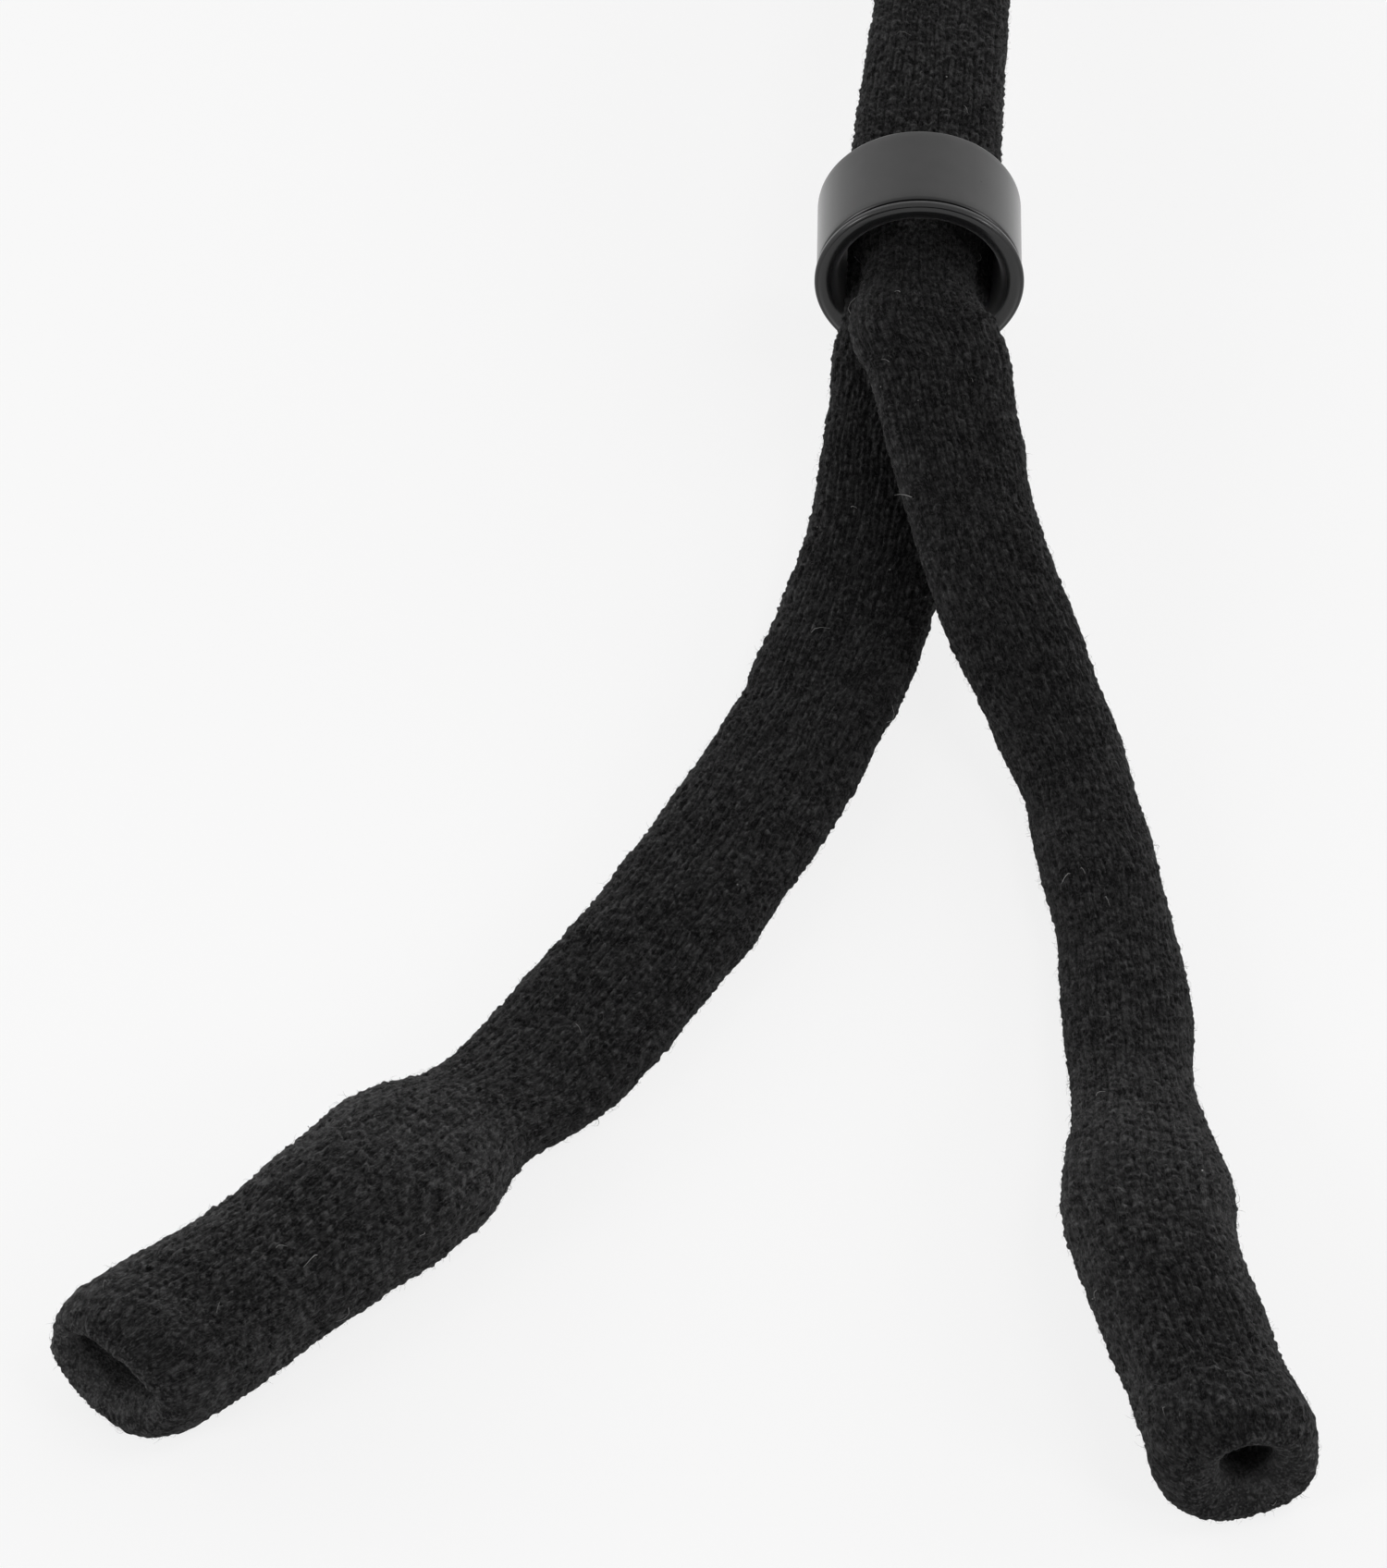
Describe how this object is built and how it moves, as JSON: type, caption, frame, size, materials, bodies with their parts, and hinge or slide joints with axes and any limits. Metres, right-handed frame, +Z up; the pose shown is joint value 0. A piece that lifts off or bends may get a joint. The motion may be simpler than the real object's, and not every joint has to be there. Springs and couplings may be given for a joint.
{
  "type": "eyeglass retainer strap",
  "caption": "Knitted tube strap doubled through a sliding ring, with an open socket for a spectacle temple at each end and a loop that goes behind the neck.",
  "frame": {"origin": "on the table, under the middle of the box round the whole strap as it lies", "axes": "+Z up from the table, +Y along the doubled strap from the slider towards the neck loop, +X to the right when the sockets point at the viewer"},
  "size_m": [0.1042, 0.3196, 0.0198],
  "materials": {
    "knit": "black plain-knit yarn, fuzzy and matte",
    "band": "dark grey satin",
    "liner": "black, glossy at the lip"
  },
  "bodies": {
    "strap": {"upper_run": "knit", "lower_run": "knit"},
    "slider": {"slider_band": "band", "slider_liner": "liner"},
    "neck": {"neck_loop": "knit"},
    "left_leg": {"left_leg": "knit"},
    "right_leg": {"right_leg": "knit"},
    "left_socket": {"left_temple_socket": "knit"},
    "right_socket": {"right_temple_socket": "knit"}
  },
  "joints": [
    {"name": "slider_slide", "type": "slide", "parent": "strap", "child": "slider", "axis": [0, 1, 0], "range_m": [0, 0.04]},
    {"name": "left_leg_swing", "type": "hinge", "parent": "strap", "child": "left_leg", "pos_m": [0.01078, -0.02954, 0.00778], "axis": [0, 0, -1], "range_deg": [0, 25]},
    {"name": "right_leg_swing", "type": "hinge", "parent": "strap", "child": "right_leg", "pos_m": [0.01078, -0.02954, 0.01198], "axis": [0, 0, 1], "range_deg": [0, 25]},
    {"name": "left_socket_bend", "type": "hinge", "parent": "left_leg", "child": "left_socket", "pos_m": [-0.02002, -0.12284, 0.0022], "axis": [0, 0, -1], "range_deg": [-25, 25]},
    {"name": "right_socket_bend", "type": "hinge", "parent": "right_leg", "child": "right_socket", "pos_m": [0.03628, -0.11944, 0.0025], "axis": [0, 0, 1], "range_deg": [-25, 25]},
    {"name": "neck_swing", "type": "hinge", "parent": "strap", "child": "neck", "pos_m": [0.01078, 0.04026, 0.00988], "axis": [0, 0, 1], "range_deg": [-25, 25]}
  ]
}
